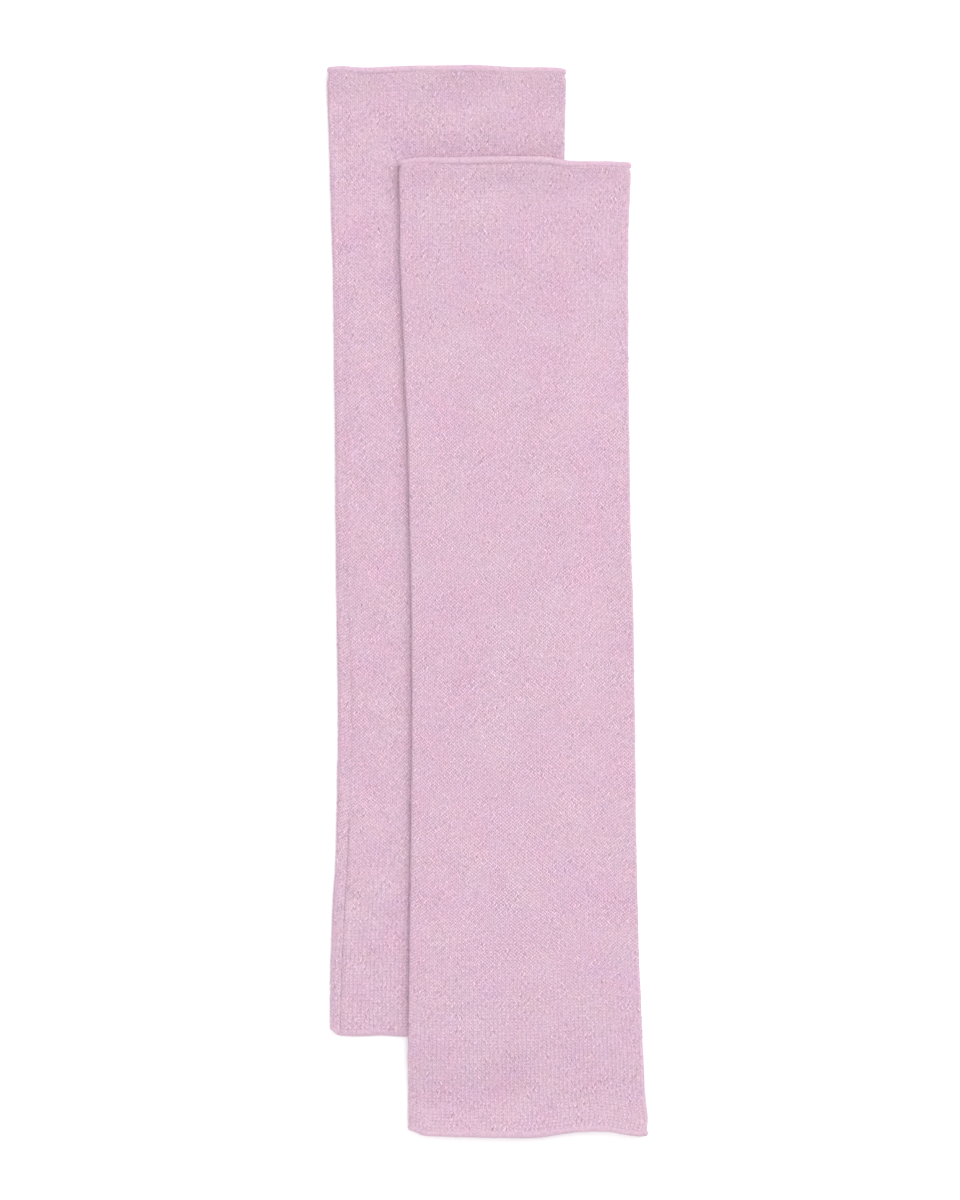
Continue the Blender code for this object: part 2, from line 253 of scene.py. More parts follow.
# A flat tube from above: both sides and the seam, at distances down from the hand end
Outline = namedtuple("Outline", "down left right seam")
UNDER_OUTLINE = [
    Outline(0.0, -66.4, 32.4, -58.4),
    Outline(21.0, -65.9, 32.0, -58.2),
    Outline(43.0, -65.2, 31.4, -58.2),
    Outline(80.0, -64.0, 30.2, -58.2),
    Outline(154.0, -63.1, 28.4, -58.2),
    Outline(214.0, -62.6, 27.8, -57.8),
    Outline(250.0, -62.0, 28.0, -56.2),
    Outline(280.0, -61.9, 28.4, -56.0),
    Outline(322.0, -62.7, 29.6, -57.4),
    Outline(350.0, -64.2, 30.6, -59.0),
    Outline(376.0, -65.0, 31.6, -60.1),
    Outline(398.6, -65.2, 32.6, -60.7),
]
OVER_OUTLINE = [
    Outline(0.0, -37.0, 59.0, 53.4),
    Outline(20.0, -36.4, 58.3, 52.8),
    Outline(42.0, -36.3, 57.9, 52.4),
    Outline(80.0, -34.7, 57.9, 52.4),
    Outline(116.0, -33.3, 58.3, 52.8),
    Outline(150.0, -32.4, 58.8, 53.3),
    Outline(192.0, -31.6, 60.0, 54.5),
    Outline(242.0, -31.6, 60.7, 55.2),
    Outline(285.0, -32.0, 61.2, 55.7),
    Outline(324.0, -32.5, 62.2, 56.7),
    Outline(361.0, -33.0, 63.6, 58.1),
    Outline(386.0, -33.0, 65.0, 59.5),
    Outline(402.0, -33.0, 66.4, 60.9),
]

# An end's edge from above, at shares of the width: how far it reaches, its roll's radius and how
# high the cloth behind the roll is drawn up to it
Edge = namedtuple("Edge", "across reach roll drawn_up")
UNDER_HAND_EDGE = [
    Edge(0.00, -0.6, 0.76, 0.90),
    Edge(0.05, -0.5, 0.80, 1.00),
    Edge(0.12, -1.0, 0.80, 0.80),
    Edge(0.20, -0.9, 0.82, 0.80),
    Edge(0.30, -0.4, 0.84, 0.90),
    Edge(0.42, -0.2, 0.92, 1.15),
    Edge(0.52, -0.1, 0.98, 1.30),
    Edge(0.62, 0.0, 1.00, 1.25),
    Edge(0.76, -0.7, 0.84, 1.00),
    Edge(0.88, -0.9, 0.80, 1.00),
    Edge(0.95, -1.0, 0.78, 1.00),
    Edge(1.00, -1.3, 0.74, 0.90),
]
UNDER_ARM_EDGE = [
    Edge(0.00, -0.3, 0.80, 0.0),
    Edge(0.10, 0.0, 0.80, 0.0),
    Edge(0.22, -0.3, 0.80, 0.0),
    Edge(0.31, 0.2, 0.80, 0.0),
    Edge(0.55, -0.2, 0.80, 0.0),
    Edge(0.80, -0.4, 0.80, 0.0),
    Edge(1.00, 0.0, 0.80, 0.0),
]
OVER_HAND_EDGE = [
    Edge(0.00, -1.2, 0.76, 0.90),
    Edge(0.06, -0.4, 0.80, 1.00),
    Edge(0.12, -0.1, 0.80, 0.85),
    Edge(0.20, -0.3, 0.84, 0.80),
    Edge(0.34, 0.0, 1.05, 0.95),
    Edge(0.44, 0.2, 1.00, 0.90),
    Edge(0.56, 0.2, 0.88, 0.80),
    Edge(0.65, -0.1, 0.96, 0.85),
    Edge(0.73, -1.6, 0.80, 0.85),
    Edge(0.82, -1.7, 0.68, 0.80),
    Edge(0.90, -1.6, 0.68, 0.80),
    Edge(1.00, -1.8, 0.70, 0.80),
]
OVER_ARM_EDGE = [
    Edge(0.00, -3.0, 0.76, 0.50),
    Edge(0.05, -1.1, 0.78, 0.60),
    Edge(0.12, -0.6, 0.82, 0.65),
    Edge(0.24, -0.3, 1.05, 0.80),
    Edge(0.40, 0.0, 1.10, 0.85),
    Edge(0.54, -0.1, 1.05, 0.80),
    Edge(0.64, -1.6, 0.80, 0.60),
    Edge(0.74, -2.6, 0.78, 0.60),
    Edge(0.85, -2.5, 0.78, 0.60),
    Edge(0.93, -1.1, 0.80, 0.60),
    Edge(1.00, -0.6, 0.76, 0.50),
]

# Soft creases: where the middle is, half its length and half its width, the way it runs counted
# from +X, and how far it rises or sinks
Crease = namedtuple("Crease", "x y long wide way rise")
UNDER_CREASES = [
    Crease(-28, 206, 34, 4.5, 2, -0.17),
    Crease(8, 197, 22, 6.0, 168, 0.19),
    Crease(-44, 186, 16, 5.0, 40, 0.17),
    Crease(-52, 150, 5.5, 22, 0, 0.15),
    Crease(-47, 96, 6.0, 30, 4, -0.11),
    Crease(-54, 30, 5.0, 26, -3, 0.14),
    Crease(-45, -40, 6.0, 30, 3, -0.12),
    Crease(-48, -84, 7.0, 20, 0, 0.25),
    Crease(-52, -134, 9.0, 12, 25, -0.15),
    Crease(-44, -160, 14, 6.0, 160, 0.12),
]
OVER_CREASES = [
    Crease(4, 173, 34, 4.0, 178, -0.26),
    Crease(34, 168, 20, 6.0, 14, -0.19),
    Crease(-16, 158, 16, 7.0, 150, 0.22),
    Crease(22, 140, 26, 7.5, 35, 0.30),
    Crease(-4, 112, 30, 8.0, 152, -0.22),
    Crease(30, 92, 26, 9.0, 60, 0.26),
    Crease(6, 58, 32, 8.0, 28, 0.22),
    Crease(-18, 30, 18, 7.0, 120, -0.19),
    Crease(24, 14, 30, 9.0, 22, -0.22),
    Crease(2, -28, 34, 9.0, 34, 0.26),
    Crease(-14, -70, 22, 8.0, 20, -0.19),
    Crease(20, -92, 30, 8.0, 150, -0.26),
    Crease(-16, -132, 9.0, 26, 4, 0.41),
    Crease(12, -150, 24, 9.0, 120, -0.26),
    Crease(34, -176, 24, 8.0, 45, 0.22),
    Crease(-6, -198, 30, 6.0, 172, -0.22),
    Crease(30, -206, 26, 6.0, 10, 0.19),
]

# How deep the seam's line is pressed in, at distances down from the hand end
Groove = namedtuple("Groove", "down deep")
UNDER_GROOVE = [
    Groove(0, 0.05), Groove(60, 0.12), Groove(190, 0.12), Groove(222, 0.17), Groove(262, 0.22),
    Groove(285, 0.13), Groove(305, 0.15), Groove(322, 0.46), Groove(345, 0.44), Groove(368, 0.62),
    Groove(388, 0.42), Groove(399, 0.25),
]
OVER_GROOVE = [Groove(0, 0.2), Groove(200, 0.3), Groove(402, 0.2)]

Glove = namedtuple(
    "Glove",
    "name number lies_on hand_y arm_y outline hand_edge arm_edge arm_rolls seam_on_top creases groove",
)
UNDER = Glove(
    "under_glove", 0, ["floor"], UNDER_HAND_Y, UNDER_ARM_Y, UNDER_OUTLINE, UNDER_HAND_EDGE,
    UNDER_ARM_EDGE, arm_rolls=False, seam_on_top=True, creases=UNDER_CREASES, groove=UNDER_GROOVE,
)
OVER = Glove(
    "over_glove", 1, ["under_glove", "floor"], OVER_HAND_Y, OVER_ARM_Y, OVER_OUTLINE, OVER_HAND_EDGE,
    OVER_ARM_EDGE, arm_rolls=True, seam_on_top=False, creases=OVER_CREASES, groove=OVER_GROOVE,
)


# The form of a glove

def step_up(value, low, high):
    """0 below low, 1 above high, and a soft step between them."""
    share = np.clip((value - low) / (high - low), 0.0, 1.0)
    return share * share * (3 - 2 * share)


def read_table(rows, at):
    """The columns of a table at places between its rows, on smooth curves through them."""
    table = np.array(rows, dtype=float)
    at = np.clip(at, table[0, 0], table[-1, 0])
    i = np.clip(np.searchsorted(table[:, 0], at, side="right") - 1, 0, len(table) - 2)
    start, end = table[i], table[i + 1]
    slope_in = (end - table[np.maximum(i - 1, 0)]) / 2
    slope_out = (table[np.minimum(i + 2, len(table) - 1)] - start) / 2
    t = ((at - start[..., 0]) / (end[..., 0] - start[..., 0]))[..., None]
    found = (
        (2 * t**3 - 3 * t**2 + 1) * start
        + (t**3 - 2 * t**2 + t) * slope_in
        + (3 * t**2 - 2 * t**3) * end
        + (t**3 - t**2) * slope_out
    )
    return np.moveaxis(found, -1, 0)[1:]


def unevenness(at, seed):
    """A slow wander between -1 and 1 along a line."""
    waves = [(0.11, 0.4), (0.23, 1.9), (0.41, 3.1), (0.77, 5.3)]
    return sum(np.sin(at * pace + late * seed) for pace, late in waves) / len(waves)


def outline_at(glove, y):
    """The middle of the wall at both sides of a glove, and its seam."""
    left, right, seam = read_table(glove.outline, glove.hand_y - y)
    drawn_in = 1 - step_up(glove.hand_y - y, 0, PULL_IN_RUN)
    if glove.arm_rolls:
        drawn_in = drawn_in + 1 - step_up(y - glove.arm_y, 0, PULL_IN_RUN)
    inward = OUTER_SIDE + FOLD_PULL_IN * drawn_in
    left = left + inward + OUTLINE_WANDERS * unevenness(y, 1.0 + glove.number)
    right = right - inward + OUTLINE_WANDERS * unevenness(y, 2.6 + glove.number)
    return left, right, seam


def creased(glove, x, y):
    """How far the creases raise or sink the upper layer."""
    rise = np.zeros(np.broadcast(x, y).shape)
    for crease in glove.creases:
        way = math.radians(crease.way)
        along = (x - crease.x) * math.cos(way) + (y - crease.y) * math.sin(way)
        aside = (y - crease.y) * math.cos(way) - (x - crease.x) * math.sin(way)
        swing = np.sin(along / crease.long * CREASE_WAVES + crease.x)
        bent = aside + crease.wide * CREASE_SWINGS * swing
        rise += crease.rise * np.exp(-(along / crease.long) ** 2 - (bent / crease.wide) ** 2)
    return rise


def ground(glove, x, y):
    """The height of what the glove lies on."""
    if glove is UNDER:
        return np.zeros(np.broadcast(x, y).shape)
    brink = outline_at(UNDER, np.maximum(y, UNDER_ARM_Y))[1] - DRAPE_STARTS
    beside = step_up(x, brink, brink + DRAPE_RUN_SIDE)
    end = UNDER_ARM_Y + DRAPE_STARTS
    beyond = step_up(end - y, 0, DRAPE_RUN_END)
    lift = TUBE_THICK + PART_GAP + creased(UNDER, x, y)
    return lift * (1 - beside) * (1 - beyond)


def section(glove, y, stretch, share):
    """Points of the flat tube's section at the middle of its wall, and their way outwards.

    Round from the seam, it runs long to the far fold, back to the near fold and home to the seam.
    """
    left, right, seam = outline_at(glove, y)
    near, far = (left, right) if glove.seam_on_top else (right, left)
    up = 1 if glove.seam_on_top else -1
    inward = 1 if glove.seam_on_top else -1
    near_fold, far_fold = near + inward * FOLD_RADIUS, far - inward * FOLD_RADIUS
    level = np.ones_like(y)
    if stretch in ("long", "back", "home"):
        start, end, side = {
            "long": (seam, far_fold, up),
            "back": (far_fold, near_fold, -up),
            "home": (near_fold, seam, up),
        }[stretch]
        x = start + (end - start) * share
        to_fold = np.minimum(abs(x - near_fold), abs(x - far_fold))
        return x, TUBE_MIDDLE + side * FOLD_RADIUS * level, 0 * level, side * level, to_fold
    centre, outward, sense = {
        "far fold": (far_fold, inward, 1),
        "near fold": (near_fold, -inward, -1),
    }[stretch]
    angle = sense * math.pi * (0.5 - share)
    out_x, out_z = outward * math.cos(angle) * level, up * math.sin(angle) * level
    return centre + out_x * FOLD_RADIUS, TUBE_MIDDLE + out_z * FOLD_RADIUS, out_x, out_z, 0 * level


def curl(length, turn):
    """How far an edge, bent evenly through this turn, goes forward and outwards."""
    if abs(turn) < MIN_TURN:
        return length, 0.0
    return length / turn * math.sin(turn), length / turn * (1 - math.cos(turn))


def end_of_wall(glove, hand, stretch, share):
    """Where a wale's wall starts to curl, the curl's length and turn, and how it draws up cloth."""
    end_y = glove.hand_y if hand else glove.arm_y
    x, _, _, out_z, to_fold = [v[0] for v in section(glove, np.array([end_y]), stretch, share)]
    left, right = [v[0] for v in outline_at(glove, np.array([end_y]))[:2]]
    across = np.array([(x - left) / (right - left)])
    edge = glove.hand_edge if hand else glove.arm_edge
    reach, roll, drawn_up = [v[0] for v in read_table(edge, across)]
    drawn_up *= max(out_z, 0.0)
    reach += REACH_WANDERS * unevenness(x * 2.1, 4.0 + hand)
    roll *= 1 + ROLL_WANDERS * unevenness(x * 1.4, 7.0 + hand)
    if hand or glove.arm_rolls:
        resting = roll if out_z > 0 else ROLL_UNDERNEATH
        radius = ROLL_AT_FOLD + step_up(to_fold, 0, ROLL_NARROWS) * (resting - ROLL_AT_FOLD)
        turn = ROLL_TURN
        curled = radius * turn
        back = radius + WALL / 2 - reach
    else:
        turn = -math.pi / 2 * max(out_z, 0.0) * step_up(to_fold, 0, TURNED_RAMP)
        curled = TURNED_LENGTH
        back = curl(curled, turn)[0] - WALL / 2 * math.sin(turn) - reach
        inside = max(TURNED_CORNER - max(min(x - left, right - x), WALL / 2), 0.0)
        back += TURNED_CORNER - math.sqrt(TURNED_CORNER**2 - inside**2)
        back += LOWER_STOPS_SHORT * (1 - out_z) / 2
    return end_y - back if hand else end_y + back, curled, turn, drawn_up


def seam_rise(glove, stretch, x, y, out_z):
    """How far the turned-in edges raise the wall beside the seam and its line sinks it."""
    seam = read_table(glove.outline, glove.hand_y - y)[2]
    from_end = np.minimum(glove.hand_y - y, y - glove.arm_y)
    ridge = SEAM_RIDGE * step_up(from_end, SEAM_RIDGE_STARTS, SEAM_RIDGE_FULL)
    beside = 1 - step_up(abs(x - seam), SEAM_RIDGE_TOP, SEAM_RIDGE_FOOT)
    rise = np.maximum(out_z, 0.0) * ridge * beside
    if glove.seam_on_top or stretch != "back":
        deep = read_table(glove.groove, glove.hand_y - y)[0]
        deep = deep * (1 + GROOVE_WANDERS * unevenness(3 * y, 5.0))
        rise = rise - out_z * deep * np.exp(-(((x - seam) / GROOVE_HALF_WIDE) ** 2))
    return rise


def end_rise(glove, y):
    """How far the rolls underneath hold up the ends."""
    rise = 1 - step_up(glove.hand_y - y, END_HELD_UP, END_COMES_DOWN)
    if glove.arm_rolls:
        rise = rise + 1 - step_up(y - glove.arm_y, END_HELD_UP, END_COMES_DOWN)
    return HELD_UP * rise


def wall_line(glove, stretch, share, straight, curls):
    """The middle of the wall along one wale, from the arm end's tip to the hand end's."""
    ends = [end_of_wall(glove, hand, stretch, share) for hand in (False, True)]
    (arm_y, arm_curled, arm_turn, arm_up), (hand_y, hand_curled, hand_turn, hand_up) = ends
    bends = [curl(arm_curled * part, arm_turn * part) for part in reversed(curls)]
    bends += [(0.0, 0.0)] * len(straight)
    bends += [curl(hand_curled * part, hand_turn * part) for part in curls]
    forward, outward = np.array(bends).T
    outward[-len(curls):] *= HAND_ROLL_FLAT
    if glove.arm_rolls:
        outward[:len(curls)] *= ARM_ROLL_FLAT
    shares = np.array([0.0] * len(curls) + straight + [1.0] * len(curls))
    flat_y = arm_y + (hand_y - arm_y) * shares
    x, z, out_x, out_z, to_fold = section(glove, flat_y, stretch, share)
    y = flat_y + forward * np.where(np.arange(len(flat_y)) < len(curls), -1, 1)
    x = x + out_x * outward
    z = z + out_z * outward + seam_rise(glove, stretch, x, y, out_z)
    for from_end, up in ((flat_y - arm_y, arm_up), (hand_y - flat_y, hand_up)):
        down = np.clip((from_end - DRAWN_UP_FULL) / (DRAWN_UP_ENDS - DRAWN_UP_FULL), 0, 1)
        z = z + up * step_up(from_end, 0, DRAWN_UP_FULL) * (1 - down) ** 2
    from_end = np.minimum(glove.hand_y - y, y - glove.arm_y)
    free = step_up(from_end, *CREASES_FROM_END) * step_up(to_fold, 0, CREASES_START)
    z = z + np.maximum(out_z, 0.0) * free * creased(glove, x, y)
    z = z + end_rise(glove, y) + ground(glove, x, y)
    return np.column_stack([x, y, np.maximum(z, WALL / 2 + FLOOR_GAP)])


def closer_at_ends(count, gather):
    """Shares from 0 to 1, closer together near both ends."""
    even = np.linspace(0, 1, count)
    return list(even - gather * np.sin(2 * math.pi * even) / (2 * math.pi))


class Skin:
    """The middle of a glove's wall at numbered wales round the tube and courses along it."""

    def __init__(self, glove):
        curls = [k / CURL_STEPS for k in range(1, CURL_STEPS + 1)]
        folds = [k / FOLD_STEPS for k in range(1, FOLD_STEPS)]
        straight = closer_at_ends(STRAIGHT_STEPS, GATHER)
        layer = closer_at_ends(LAYER_STEPS, GATHER)
        home = closer_at_ends(HOME_STEPS, HOME_GATHER)
        stretches = {
            "long": layer, "far fold": folds, "back": layer, "near fold": folds, "home": home
        }
        stops = [(stretch, share) for stretch, shares in stretches.items() for share in shares]
        lines = [wall_line(glove, *stop, straight, curls) for stop in stops]
        self.glove = glove
        self.middle = np.array(lines)
        walked = np.cumsum(np.linalg.norm(np.diff(self.middle, axis=0), axis=2), axis=0)
        self.wales = np.vstack([0 * walked[:1], walked]) / walked[-1] * WALES
        self.wales[:, :len(curls)] = self.wales[:, len(curls), None]
        self.wales[:, -len(curls):] = self.wales[:, -len(curls) - 1, None]
        self.courses = np.concatenate([
            -CURL_COURSES * np.array(curls[::-1]),
            np.array(straight) * COURSES,
            COURSES + CURL_COURSES * np.array(curls),
        ])
        round_on = np.concatenate([self.middle[-2:-1], self.middle, self.middle[1:2]])
        across = round_on[2:] - round_on[:-2]
        along = np.gradient(self.middle, axis=1)
        outward = np.cross(across, along)
        self.outward = outward / np.linalg.norm(outward, axis=2, keepdims=True)
        self.even_middle, self.even_outward = self.evened(self.middle), self.evened(self.outward)

    def evened(self, grid):
        """A grid's values at even steps of a wale."""
        even = np.arange(WALES * WALE_STEPS + 1) / WALE_STEPS
        found = np.empty((len(even), *grid.shape[1:]))
        for j in range(grid.shape[1]):
            for k in range(grid.shape[2]):
                found[:, j, k] = np.interp(even, self.wales[:, j], grid[:, j, k])
        return found

    def lay(self, wale, course, height):
        """Points over the wall, height counted outwards from its middle."""
        across = wale % WALES * WALE_STEPS
        along = np.interp(course, self.courses, np.arange(len(self.courses)))
        i = np.minimum(across.astype(int), WALES * WALE_STEPS - 1)
        j = np.minimum(along.astype(int), len(self.courses) - 2)
        s, t = (across - i)[:, None], (along - j)[:, None]

        def between(grid):
            low = grid[i, j] * (1 - s) + grid[i + 1, j] * s
            high = grid[i, j + 1] * (1 - s) + grid[i + 1, j + 1] * s
            return low * (1 - t) + high * t

        points = between(self.even_middle) + between(self.even_outward) * height[:, None]
        points[:, 2] = np.maximum(points[:, 2], FLOOR_GAP)
        return points


# Pieces

def finished(bm, name):
    """A mesh of what a bmesh holds, which is then let go."""
    mesh = bpy.data.meshes.new(name)
    bm.to_mesh(mesh)
    bm.free()
    return mesh


def piece(name, mesh, material):
    """A finished piece with its finish, shaded smooth, that rides with the pair."""
    mesh.materials.clear()
    mesh.materials.append(material)
    mesh.shade_smooth()
    made = bpy.data.objects.new(name, mesh)
    bpy.context.collection.objects.link(made)
    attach(made, "root")
    return made


def wall_shades(skin):
    """The wall's shade: painted shade where it shows between the stitches, less of it where felted and
    near the ends, and lighter on the curled ends.
    """
    from_end = np.minimum(skin.courses, COURSES - skin.courses)
    curled = 1 - step_up(from_end, -1.0, 0.0)
    felt = felted(skin.glove, skin.wales, skin.courses)
    behind = WALL_GAP_SHADE + WALL_SHADE_LIFT * felt + WALL_SHADE_LIFT * near_end(skin.courses)
    return CURL_SHADE * curled + (1 - curled) * behind


def shell(skin, material):
    """The wall of a tube, closed round at its seam and open at both ends."""
    bm = bmesh.new()
    cloth = bm.loops.layers.uv.new("cloth")
    tone = bm.verts.layers.float.new("shade")
    across, along = len(skin.wales), len(skin.courses)
    grid = bmesh.ops.create_grid(bm, x_segments=across - 1, y_segments=along - 1, size=1)
    order = [(i, j) for j in range(along) for i in range(across)]
    shades = wall_shades(skin)
    for vert, (i, j) in zip(grid["verts"], order):
        vert.co = skin.middle[i, j] * MM
        vert[tone] = shades[i, j]
        for loop in vert.link_loops:
            loop[cloth].uv = (skin.wales[i, j], skin.courses[j])
    bmesh.ops.remove_doubles(bm, verts=bm.verts, dist=DOUBLE * MM)
    name = skin.glove.name
    made = piece(name, finished(bm, name), material)
    wall = made.modifiers.new("wall", "SOLIDIFY")
    wall.thickness = WALL * MM
    wall.offset = 0.0
    wall.use_even_offset = True
    wall.use_rim = True
    return made


def repeated(base, across, along):
    """Copies of one small shape, a wale apart across and a course apart along."""
    knitted = bpy.data.objects.new("swatch", base)
    bpy.context.collection.objects.link(knitted)
    for count, apart in ((across, (1, 0, 0)), (along, (0, 1, 0))):
        array = knitted.modifiers.new("array", "ARRAY")
        array.use_relative_offset = False
        array.use_constant_offset = True
        array.constant_offset_displace = apart
        array.count = count
    swatch = bpy.data.meshes.new_from_object(
        knitted.evaluated_get(bpy.context.evaluated_depsgraph_get())
    )
    bpy.data.objects.remove(knitted, do_unlink=True)
    return swatch


def flat_points(mesh):
    points = np.empty(len(mesh.vertices) * 3)
    mesh.vertices.foreach_get("co", points)
    return points.reshape(-1, 3)


def laid(mesh, skin, wale, course, height, shade):
    """The flat cloth's shapes moved on to the wall, with each one's own shade of the yarn."""
    points = skin.lay(wale, course, height) * MM
    mesh.vertices.foreach_set("co", points.ravel())
    tone = mesh.attributes.new("shade", "FLOAT", "POINT")
    tone.data.foreach_set("value", shade)
    corners = np.empty(len(mesh.loops), dtype=np.int32)
    mesh.loops.foreach_get("vertex_index", corners)
    cloth = mesh.uv_layers.new(name="cloth")
    cloth.data.foreach_set("uv", np.column_stack([wale, course])[corners].ravel())
    mesh.update()


def strand(bm, stations, placed):
    """A short rounded strand. A place along it and one aside are moved to the stitch's own spot."""
    last = len(stations) - 1
    made = bmesh.ops.create_grid(bm, x_segments=2, y_segments=last, size=0.5)["verts"]
    for vert in made:
        here = stations[round((vert.co.y + 0.5) * last)]
        on_crest = abs(vert.co.x) < 0.25
        spot = placed(here.along, vert.co.x * here.wide)
        vert.co = (*spot, LEG_HIGH * here.high * on_crest)


def on_leg(side):
    """A leg of a loop slants from the middle of its wale to one side."""
    def placed(along, aside):
        out = min(max(LEG_OUT + LEG_SLANT * (along - 0.5), LEG_REACH[0]), LEG_REACH[1])
        return 0.5 + side * out + aside, along
    return placed


def on_bar(middle, course):
    """A bar crosses a wale, arched a little."""
    return lambda along, aside: (middle + along, course + aside - 0.5 * along * along)


def upper_wales(skin):
    """The wales of the side that shows, folds counted, from its first to its last."""
    straight = (skin.courses >= 0) & (skin.courses <= COURSES)
    up = skin.outward[:, straight, 2] > SHOWS_DOWN_TO
    wales = skin.wales[:, straight]
    before = np.roll(up, 1, axis=0)
    starts = math.floor(wales[up & ~before].min())
    ends = wales[~up & before].max()
    return starts, starts + math.ceil((ends - starts) % WALES)


def near_end(course):
    """1 at a glove's ends, falling to 0 midway."""
    return 1 - step_up(np.minimum(course, COURSES - course), *ENDS_FADE)


def felted(glove, wale, course):
    """How far wear has felted the stitches over, in soft patches."""
    ways = np.random.default_rng(glove.number).uniform(0, 2 * math.pi, (FELT_WAVES, 2))
    across, along = wale * WALE, course * COURSE
    waves = 0
    for k, (way, late) in enumerate(ways):
        onward = across * math.cos(way) + along * math.sin(way)
        waves = waves + np.sin(onward / (FELT_SIZE + k / FELT_SIZE_STEP) + late)
    return step_up(waves, FELT_FROM, FELT_FULL)


def flecks(chance, courses, wales):
    """How light each leg is, unlike its neighbours, so that the cloth stays even from afar."""
    light = chance.standard_normal((courses, 2 * wales))
    around = sum(np.roll(light, step, axis) for axis in (0, 1) for step in (-1, 1)) / 4
    light -= around
    return (light / light.std()).ravel()


def stitch_shades(skin, wale, course, to_side, dip_shade, fleck):
    """Each leg's shade: its own fleck, painted shade at its edges where it goes down between its
    neighbours, darker near the ends with painted shade between the wales, and painted shade in the
    seam's groove.
    """
    felt = felted(skin.glove, wale, course)
    at_end = near_end(course)
    shade = YARN_SHADE + FLECK_SHADE * fleck * np.sqrt(abs(fleck)) * (1 - FELT_EVENS * felt)
    # Painted shade where a leg goes down between its neighbours, less where felted and near the ends
    shade -= dip_shade * (1 - FELT_EVENS * felt) * (1 - DIP_SHADE_FADES_AT_ENDS * at_end)
    shade -= FELT_DEEPENS * felt
    # Near the ends: darker, with painted shade between the wales and lighter middles
    lines = np.where(course < COURSES / 2, ARM_WALE_SHADE, HAND_WALE_SHADE)
    shade -= at_end * (END_SHADE + lines * (to_side - 0.5))
    # Painted shade in the seam's groove, by how deep it is pressed in
    from_seam = abs((wale + WALES / 2) % WALES - WALES / 2)
    pressed = read_table(skin.glove.groove, (COURSES - course) * COURSE)[0]
    shade -= GROOVE_PAINTED_SHADE * pressed * np.exp(-((from_seam / GROOVE_PAINTED_SHADE_WALES) ** 2))
    return np.clip(shade, *SHADE_LIMITS)


def stitches(skin, material, wales, courses, seed):
    """The knit side: in every stitch the two legs of a loop, which make a V."""
    bm = bmesh.new()
    for side in (-1, 1):
        strand(bm, LEG, on_leg(side))
    base = finished(bm, "stitch")
    # Painted shade on each leg's low points, where it goes down between its neighbours
    dip_shade = DIP_PAINTED_SHADE * (flat_points(base)[:, 2] <= 0)
    (first, last), (lowest, highest) = wales, courses
    mesh = repeated(base, last - first, highest - lowest)
    points = flat_points(mesh)
    chance = np.random.default_rng(seed)
    number = np.arange(len(points)) // (len(base.vertices) // 2)
    legs = number[-1] + 1
    plump = np.clip(1 + PLUMP_SPREAD * chance.standard_normal(legs), *PLUMP_LIMITS)[number]
    aside = ASIDE_SPREAD * chance.standard_normal(legs)[number]
    fleck = flecks(chance, highest - lowest, last - first)[number]
    wale, course = points[:, 0] + first, points[:, 1] + lowest
    to_side = abs(points[:, 0] % 1 - 0.5) * 2
    dip_shade = np.tile(dip_shade, len(points) // len(dip_shade))
    shade = stitch_shades(skin, wale, course, to_side, dip_shade, fleck)
    felt = felted(skin.glove, wale, course)
    at_end = near_end(course)
    parted = WALES_PART_MIDWAY + (WALES_PART - WALES_PART_MIDWAY) * at_end
    height = points[:, 2] * plump * (1 - parted * to_side) * (1 - FELT_FLATTENS * felt)
    height = WALL / 2 + (height - STITCH_SINKS) * (1 - LOW_AT_ENDS * at_end)
    laid(mesh, skin, wale + aside, course, height, shade)
    # Painted shade in the hollows between the legs, strongest midway and less where felted
    pit_shade = mesh.attributes.new("pit_shade", "FLOAT", "POINT")
    pit_shade.data.foreach_set("value", PIT_PAINTED_SHADE * (1 - at_end) * (1 - FELT_FILLS * felt))
    name = f"{skin.glove.name}_stitches_{seed}"
    return piece(name, mesh, material)


def swatches(skin):
    """Wales and courses of the knit that shows, parted so that each piece stays small."""
    first, last = upper_wales(skin)
    if skin.glove is UNDER:
        beside, end = (first, first + UNDER_SHOWS_WALES), (first, last)
        return [(beside, (0, UNDER_SHOWS_FROM)), (end, (UNDER_SHOWS_FROM, COURSES))]
    high = COURSES // OVER_SWATCHES
    return [((first, last), (k * high, (k + 1) * high)) for k in range(OVER_SWATCHES)]


def hidden(glove, x, y):
    """Where the over glove lies on the under glove."""
    if glove is OVER:
        return np.zeros(len(x), dtype=bool)
    left = outline_at(OVER, y)[0]
    return (x > left + HIDDEN_FROM_SIDE) & (y < OVER_HAND_Y - HIDDEN_FROM_END)


def purl_side(skin, material, hand):
    """The back of the loops, which a rolled edge turns outwards: arched bars across the wales."""
    bm = bmesh.new()
    strand(bm, BAR, on_bar(middle=0.5, course=0.3))
    strand(bm, BAR, on_bar(middle=1.0, course=0.8))
    base = finished(bm, "bar")
    mesh = repeated(base, WALES, PURL_COURSES)
    points = flat_points(mesh)
    chance = np.random.default_rng(5 + hand)
    number = np.arange(len(points)) // (len(base.vertices) // 2)
    shade = (PURL_SHADE + PURL_SHADE_SPREAD * chance.standard_normal(number[-1] + 1))[number]
    course = points[:, 1] / PURL_COURSES * PURL_RUN + PURL_FROM
    course = COURSES + course if hand else -course
    height = STITCH_SINKS - WALL / 2 - PURL_LOW * points[:, 2]
    laid(mesh, skin, points[:, 0], course, height, shade)
    if hand:
        mesh.flip_normals()
    end = "hand" if hand else "arm"
    name = f"{skin.glove.name}_{end}_roll_loops"
    return piece(name, mesh, material)


